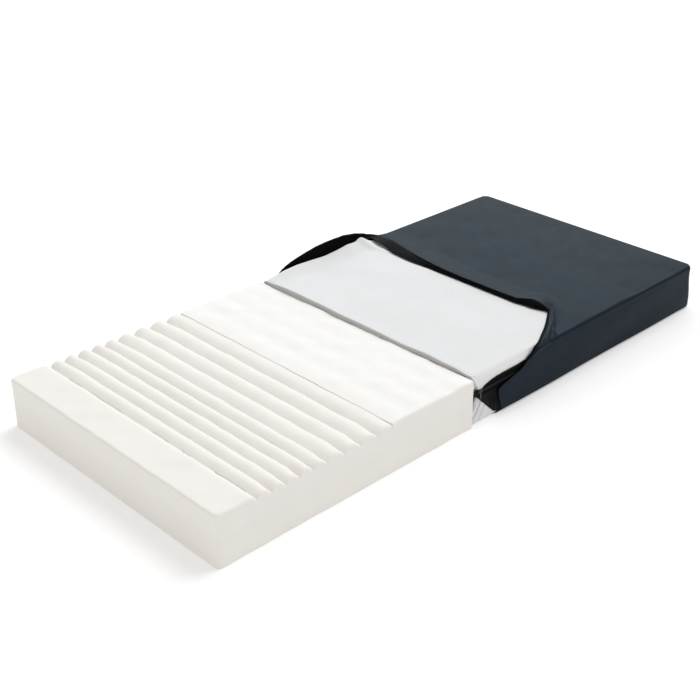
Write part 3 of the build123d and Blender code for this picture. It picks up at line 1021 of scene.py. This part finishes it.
# The black band at the mouth hangs from the outer cloth's edge: distance round the section, then
# how far its free edge lies from the mouth edge.
band_drop = np.array(
    [
        (-0.480, -0.0020, 0.0022, -0.0010),
        (-0.452, -0.0040, 0.0024, 0.0020),
        (-0.440, -0.0050, 0.0060, 0.0000),
        (-0.404, -0.0060, 0.0060, -0.0040),
        (-0.352, -0.0030, 0.0045, -0.0045),
        (-0.322, -0.0020, 0.0040, -0.0065),
        (-0.296, -0.0120, 0.0010, -0.0140),
        (-0.262, -0.0220, 0.0000, -0.0165),
        (-0.235, -0.0140, 0.0000, -0.0145),
        (-0.205, -0.0095, 0.0000, -0.0105),
        (0.000, -0.0060, 0.0000, -0.0100),
        (0.140, -0.0150, 0.0000, -0.0110),
        (0.255, -0.0400, -0.0040, -0.0080),
        (0.318, -0.0500, -0.0060, -0.0050),
        (0.377, -0.0500, -0.0080, 0.0030),
        (0.424, -0.0500, -0.0300, 0.0080),
        (0.440, -0.0340, -0.0180, 0.0060),
        (0.451, -0.0020, -0.0060, -0.0280),
        (0.465, 0.0080, -0.0060, -0.0320),
        (0.480, 0.0160, -0.0060, -0.0260),
        (0.490, 0.0180, -0.0050, -0.0200),
    ]
)


def mouth_band():
    """Zip tape and facing along the open mouth. The opened row of teeth on its free edge is made by
    open_teeth.
    """
    around = samples(band_drop[0, 0], band_drop[-1, 0], 0.004)
    edge = mouth_at(around)
    drop = curve_through(band_drop, around)
    inset = edge.copy()
    inset[:, 2] -= 0.0016 * smooth((0.30 - np.abs(around)) / 0.1)
    rows = []
    for t in np.linspace(0, 1, 9):
        row = inset + drop * t
        row[:, 0] -= 0.0022 * math.sin(math.pi * t)
        row[:, 2] += 0.0004 * ripple(around, around * 0 + t, 0.06, 94)
        rows.append(row)
    band = grid_object("mouth_band", np.stack(rows, axis=1), tape_look)
    thicken(band, 0.0010, offset=0.0)
    nodes = ("mouth_binding_top", "mouth_binding_near", "mouth_facing_far")
    return belongs(band, "cover", "black_cloth", *nodes)


# ---- Zip ----------------------------------------------------------------------------------------
tooth_pitch = 0.0026
tooth_radius = 0.0008
closed_tooth = 0.0044
open_tooth = 0.0032
tape_width = 0.013
coil_y = coil_high.y - 0.0011
coil_head_x = coil_high.x - 0.0011
zip_corner_radius = cover_plan_radius - (half_width - coil_y)
up = np.array([0.0, 0.0, 1.0])


def zip_path(start_x, step):
    """Places along the U that the closed zip follows: point, heading and outward direction."""
    radius = zip_corner_radius
    straight = coil_head_x - radius - start_x
    corner = math.pi / 2 * radius
    centre_y = coil_y - radius
    across = 2 * centre_y
    at_head = straight + corner
    at_far = at_head + across
    path = []
    for along in np.arange(0, 2 * at_head + across, step):
        turned = np.clip(along - straight, 0, corner) + np.clip(along - at_far, 0, corner)
        turn = turned / radius
        centre_x = start_x + min(along, straight) - max(along - at_far - corner, 0)
        crossed = np.clip(along - at_head, 0, across)
        heading = np.array([math.cos(turn), math.sin(turn), 0.0])
        out = np.array([math.sin(turn), -math.cos(turn), 0.0])
        centre = np.array([centre_x, crossed - centre_y, 0.0])
        path.append((centre + out * radius, heading, out))
    return path


def zip_row(half, z, shift):
    """One row of teeth. Its ends pass between the other row's, across the middle of the zip."""
    places = []
    for point, heading, out in zip_path(stop_high.x + 0.003 + shift, tooth_pitch):
        places.append((point + up * z, up, heading * 0.9, out * 1.25))
    row = copies(f"zip_teeth_{half}", capsule(closed_tooth, tooth_radius), places, coil_look)
    belongs(row, "cover", "zip_coil", f"zip_coil_{half}")


def zip_tape(half, low, high):
    """The upper or lower woven tape of the closed zip."""
    path = zip_path(tip_x + 0.002, 0.005)
    points = np.array([p for p, _, _ in path])
    out = np.array([o for _, _, o in path])
    upper = np.interp(points[:, 0], inner_wall_edges[:, 0], inner_wall_edges[:, 1]) - 0.0006
    lower = np.interp(points[:, 0], inner_wall_edges[:, 0], inner_wall_edges[:, 2]) + 0.0006
    top = np.maximum(np.minimum(high, upper), low + 0.001)
    bottom = np.minimum(np.maximum(low, lower), high - 0.001)
    rows = []
    for t in np.linspace(0, 1, 7):
        row = points - out * (0.0006 - 0.0006 * t * (1 - t))
        row[:, 2] = bottom + (top - bottom) * t
        rows.append(row)
    tape = grid_object(f"zip_{half}_tape", np.stack(rows, axis=1), tape_look)
    thicken(tape, tape_cloth, offset=0.0)
    return belongs(tape, "cover", "black_cloth", f"zip_tape_{half}")


def tape_stitches(z):
    """The thread that sews a row of teeth to its tape."""
    places = []
    for point, heading, out in zip_path(stop_high.x + 0.003, 0.0052):
        places.append((point + out * 0.0002 + up * z, heading, up, out))
    thread = copies("zip_stitches", capsule(0.0042, 0.0003, sides=4), places, tape_thread_look)
    belongs(thread, "cover", "zip_coil")


def open_teeth(around_low, around_high):
    """The opened row of teeth along the mouth band's free edge."""
    places = []
    around = np.arange(around_low, around_high, 0.0008)
    edge = mouth_at(around) + curve_through(band_drop, around)
    inner = mouth_at(around) + 0.85 * curve_through(band_drop, around)
    travelled = 0.0
    for i in range(1, len(edge) - 1):
        ahead = edge[i + 1] - edge[i - 1]
        travelled += np.linalg.norm(edge[i] - edge[i - 1])
        if travelled < tooth_pitch:
            continue
        travelled = 0.0
        ahead /= np.linalg.norm(ahead)
        drop = edge[i] - inner[i]
        drop /= max(np.linalg.norm(drop), 1e-9)
        flat = np.cross(drop, ahead)
        places.append((edge[i], drop, ahead * 0.9, flat * 1.1))
    row = copies("zip_teeth_open_upper", capsule(open_tooth, tooth_radius), places, coil_look)
    return belongs(row, "cover", "zip_coil")


def base_edge_zip():
    """The opened lower tape and its teeth, along the front edge of the base panel."""
    reach = base_high.y - 0.004
    ys = samples(-reach, reach, 0.008)
    share = np.linspace(0, 1, 5)
    y, t = np.meshgrid(ys, share, indexing="ij")
    x = base_low.x + 0.004 - tape_width * t
    z = 0.0013 + 0.00015 * ripple(y, x, 0.05, 96)
    tape = grid_object("zip_base_tape", np.stack([x, y, z], axis=2), tape_look, flip=True)
    thicken(tape, 0.0006, offset=0.0)
    places = []
    for place_y in np.arange(-reach, reach, tooth_pitch):
        place = np.array([base_low.x - 0.0095, place_y, 0.0013])
        places.append((place, (1.0, 0, 0), (0, 0.9, 0), (0, 0, 1.0)))
    row = copies("zip_teeth_open_lower", capsule(open_tooth, tooth_radius), places, coil_look)
    return belongs(tape, "cover", "black_cloth"), belongs(row, "cover", "zip_coil")


def closed_zip():
    """Both rows of teeth, both tapes and the end stops."""
    zip_row("lower", zip_z - 0.0012, 0.0)
    zip_row("upper", zip_z + 0.0012, tooth_pitch / 2)
    tapes = [
        zip_tape("lower", tape_low.z, tape_high.z),
        zip_tape("upper", tape_upper_low.z, tape_upper_high.z),
    ]
    tape_stitches(zip_z - 0.0038)
    for side, sign in (("near", -1.0), ("far", 1.0)):
        middle_x = (stop_low.x + stop_high.x) / 2
        outline = rounded_outline(0.0024, 0.0036, 0.55)
        stop = plate(outline, -stop_high.y - 0.0002, 0.0024, (middle_x, zip_z))
        obj = mirrored_object(f"zip_end_stop_{side}", [stop], metal_look, sign)
        belongs(obj, "cover", "zip_metal", f"zip_stop_{side}")
    return tapes


# Metal parts are built in (x, outward, z) and then set on the near or the far side.


def bulged(value, power):
    """value to a power, with its sign kept: squares a circle's sine or cosine where power < 1."""
    return math.copysign(abs(value) ** power, value)


def rounded_outline(half_x, half_z, squareness, count=32, narrow=0.0):
    """A superellipse round the origin, in X and Z. narrow makes its +X end slimmer."""
    points = []
    for angle in np.linspace(0, math.tau, count, endpoint=False):
        x = bulged(math.cos(angle), squareness) * half_x
        slimmer = 1 - narrow * (0.5 + 0.5 * x / half_x)
        points.append((x, bulged(math.sin(angle), squareness) * half_z * slimmer))
    return points


def plate(outline, out, thickness, centre, dome=0.0):
    """A flat or domed plate with rolled edges. Returns (points, faces)."""
    profile = [(0.35, 1.0), (0.80, 1.0), (0.94, 0.95), (1.0, 0.6)]
    profile += [(1.0, -0.6), (0.94, -0.95), (0.80, -1.0), (0.35, -1.0)]
    points = []
    for scale, level in profile:
        rise = level * thickness / 2 + (dome * (1 - scale**2) if level > 0 else 0)
        points += [(centre[0] + x * scale, out + rise, centre[1] + z * scale) for x, z in outline]
    return points, tube_faces(len(profile), len(outline))


def ring_plate(outline, hole, out, thickness):
    """A plate with a hole in it, its face slightly sunk between two rims."""
    loop = [(0.0, -0.7), (0.0, 0.7), (0.12, 1.0), (0.24, 0.72), (0.76, 0.72), (0.88, 1.0)]
    loop += [(1.0, 0.6), (1.0, -0.6), (0.88, -1.0), (0.76, -0.72), (0.24, -0.72), (0.12, -1.0)]
    points = []
    for (hole_x, hole_z), (edge_x, edge_z) in zip(hole, outline):
        for share, level in loop:
            x = hole_x + (edge_x - hole_x) * share
            z = hole_z + (edge_z - hole_z) * share
            points.append((x, out + level * thickness / 2, z))
    faces = grid_faces(len(outline), len(loop), wrap_rows=True, wrap_columns=True)
    return points, [tuple(f)[::-1] for f in faces]


def wire(line, radius, sides=8):
    """A round wire through the points of line. Returns (points, faces)."""
    line = np.array(line, float)
    points = []
    for i, point in enumerate(line):
        ahead = line[min(i + 1, len(line) - 1)] - line[max(i - 1, 0)]
        ahead /= np.linalg.norm(ahead)
        side = np.cross(ahead, up)
        side /= np.linalg.norm(side)
        lift = np.cross(side, ahead)
        for angle in np.linspace(0, math.tau, sides, endpoint=False):
            points.append(point + radius * (math.cos(angle) * side + math.sin(angle) * lift))
    return [tuple(p) for p in points], tube_faces(len(line), sides)


def mirrored_object(name, parts, material, sign):
    """Joins parts given in (x, outward, z) and sets them on the near (-1) or the far (1) side."""
    points, faces = [], []
    for part_points, part_faces in parts:
        shift = len(points)
        for face in part_faces:
            face = tuple(v + shift for v in face)
            faces.append(face if sign > 0 else face[::-1])
        points += [(x, sign * out, z) for x, out, z in part_points]
    return make_object(name, points, faces, material, smooth_angle=35)


def zip_slider(side, sign):
    """The slider's two plates on their post, their guiding lips, and the bail on the outer one."""
    half_x = (slider_high.x - slider_low.x) / 2
    half_z = (slider_high.z - slider_low.z) / 2
    outer, inner = -slider_low.y, -slider_high.y
    bail_rise = 0.0016
    face = outer - bail_rise
    outline = rounded_outline(half_x, half_z, 0.62, narrow=0.22)
    lip = rounded_outline(half_x * 0.72, 0.0009, 0.5)
    post = rounded_outline(0.0028, 0.0020, 0.7)
    post_place = (slider_x - half_x + 0.0036, zip_z)
    parts = [
        plate(outline, face - 0.0005, 0.0009, (slider_x, zip_z), dome=0.0003),
        plate(outline, inner + 0.0005, 0.0009, (slider_x, zip_z)),
        plate(post, (face + inner) / 2, face - inner - 0.001, post_place),
    ]
    for edge in (-1, 1):
        place = (slider_x + 0.001, zip_z + edge * (half_z - 0.0014))
        parts.append(plate(lip, face - 0.0013, 0.0012, place))
        parts.append(plate(lip, inner + 0.0013, 0.0012, place))
    bail = []
    for t in np.linspace(0, math.pi, 13):
        rise = bail_rise * math.sin(t) ** 0.6
        bail.append((slider_x - 0.0052 * math.cos(t), face - 0.0004 + rise, zip_z))
    parts.append(wire(bail, 0.00055))
    body = mirrored_object(f"zip_{side}_slider", parts, metal_look, sign)
    belongs(body, f"slider_{side}", "zip_metal", f"zip_slider_{side}")


def zip_pull(side, sign):
    """The waisted tag that hangs from the bail by its eye, with a raised pad at its lower end."""
    half_x = (pull_high.x - pull_low.x) / 2
    half_z = (pull_high.z - pull_low.z) / 2
    middle_z = (pull_high.z + pull_low.z) / 2
    eye_z = pull_high.z - 0.0030
    outline, hole = [], []
    for angle in np.linspace(0, math.tau, 56, endpoint=False):
        c, s = math.cos(angle), math.sin(angle)
        z = bulged(s, 0.55) * half_z
        waist = 1 - 0.16 * math.exp(-(((z - 0.3 * half_z) / (0.35 * half_z)) ** 2))
        outline.append((slider_x + bulged(c, 0.6) * half_x * waist, middle_z + z))
        hole.append((slider_x + 0.0017 * c, eye_z + 0.0019 * s))
    out = -(pull_low.y + pull_high.y) / 2
    pad = rounded_outline(half_x * 0.55, 0.0052, 0.5)
    parts = [
        ring_plate(outline, hole, out, 0.0009),
        plate(pad, out + 0.0002, 0.0007, (slider_x, pull_low.z + 0.0078)),
    ]
    pull = mirrored_object(f"zip_{side}_pull", parts, metal_look, sign)
    belongs(pull, f"pull_{side}", "zip_metal", f"zip_pull_{side}")


def flap_stitches():
    """The stitched hem along the bottom of the outer flaps."""
    places = []
    z = flap_low.z + 0.009
    proud = 0.0012
    to_flap = np.array([head_end - coil_head_x, half_width - coil_y, 0.0])
    for point, heading, out in zip_path(0.045, 0.0062):
        place = point + out * to_flap + up * z
        place[0] += flare_at(place[0])
        places.append((place + out * proud, heading, up, out))
    thread = copies("cover_flap_stitches", capsule(0.0044, 0.0003, sides=4), places, cover_thread_look)
    return belongs(thread, "cover", "cover_cloth")


def liner_and_cover():
    """Builds every cloth piece, and the zip's tapes, teeth and stops."""
    sleeve = liner_sleeve()
    roll, stitches = liner_hem()
    shell = cover_shell()
    hem_thread = flap_stitches()
    cover_base()
    for side in ("near", "far"):
        inner_wall(side)
    inner_wall_head()
    band = mouth_band()
    teeth = open_teeth(band_drop[0, 0] + 0.01, band_drop[-1, 0] - 0.004)
    tape, row = base_edge_zip()
    for tape in closed_zip():
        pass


# ---- Stage --------------------------------------------------------------------------------------


def floor():
    """A plain white studio floor just under the mattress."""
    size, z = 30.0, -0.0006
    points = [(-size, -size, z), (size, -size, z), (size, size, z), (-size, size, z)]
    look = Material("studio floor", 0.9, Specular_IOR_Level=0.0)
    look.shader.inputs["Base Color"].default_value = (0.84, 0.84, 0.84, 1.0)
    look.shader.inputs["Emission Color"].default_value = (1.0, 1.0, 1.0, 1.0)
    look.shader.inputs["Emission Strength"].default_value = 0.24
    obj = make_object("floor", points, [(0, 1, 2, 3)], look.material)


def area_light(name, place, target, size, power, colour):
    """A rectangular light at place that faces target."""
    data = bpy.data.lights.new(name, "AREA")
    data.shape = "RECTANGLE"
    data.size, data.size_y = size
    data.energy = power
    data.color = colour
    obj = bpy.data.objects.new(name, data)
    obj.location = place
    direction = Vector(target) - Vector(place)
    obj.rotation_euler = direction.to_track_quat("-Z", "Y").to_euler()
    bpy.context.scene.collection.objects.link(obj)


def lights():
    """A white room, a soft sun from the head end, a card that the cover's top reflects, and a fill."""
    world = bpy.data.worlds.new("studio")
    bpy.context.scene.world = world
    world.use_nodes = True
    background = world.node_tree.nodes["Background"]
    background.inputs["Color"].default_value = (1.0, 1.0, 1.0, 1.0)
    background.inputs["Strength"].default_value = 0.60
    data = bpy.data.lights.new("soft sun", "SUN")
    data.energy = 1.33
    data.angle = math.radians(34)
    sun = bpy.data.objects.new("soft sun", data)
    sun.rotation_euler = Vector((-0.52, 0.03, -0.85)).to_track_quat("-Z", "Y").to_euler()
    bpy.context.scene.collection.objects.link(sun)
    area_light("reflected card", (3.7, 3.1, 2.5), (0.6, 0.0, 0.15), (4.2, 2.6), 70.0, (0.78, 0.93, 1.0))
    area_light("warm fill", (-4.6, 0.2, 1.9), (-0.6, 0.0, 0.1), (2.5, 2.0), 10.0, (1.0, 0.90, 0.78))
    bpy.context.scene.view_settings.view_transform = "Standard"
    bpy.context.scene.view_settings.look = "None"


def camera():
    """A view from above the near foot corner along the mattress."""
    place = Vector((-2.3489, -2.2508, 1.7779))
    yaw, pitch, roll = math.radians(44.501), math.radians(28.182), math.radians(0.252)
    forward = Vector(
        (math.cos(pitch) * math.sin(yaw), math.cos(pitch) * math.cos(yaw), -math.sin(pitch))
    )
    right = Vector((math.cos(yaw), -math.sin(yaw), 0.0))
    up = right.cross(forward)
    tilted_right = math.cos(roll) * right + math.sin(roll) * up
    tilted_up = -math.sin(roll) * right + math.cos(roll) * up
    data = bpy.data.cameras.new("camera")
    data.lens = 63.11
    data.sensor_width = 36.0
    data.clip_end = 100.0
    obj = bpy.data.objects.new("camera", data)
    turn = Matrix((tilted_right, tilted_up, -forward)).transposed()
    obj.matrix_world = Matrix.Translation(place) @ turn.to_4x4()
    bpy.context.scene.collection.objects.link(obj)
    bpy.context.scene.camera = obj


camera()
lights()
floor()
foam_core()
liner_and_cover()
for side, sign in (("near", -1.0), ("far", 1.0)):
    zip_slider(side, sign)
    zip_pull(side, sign)
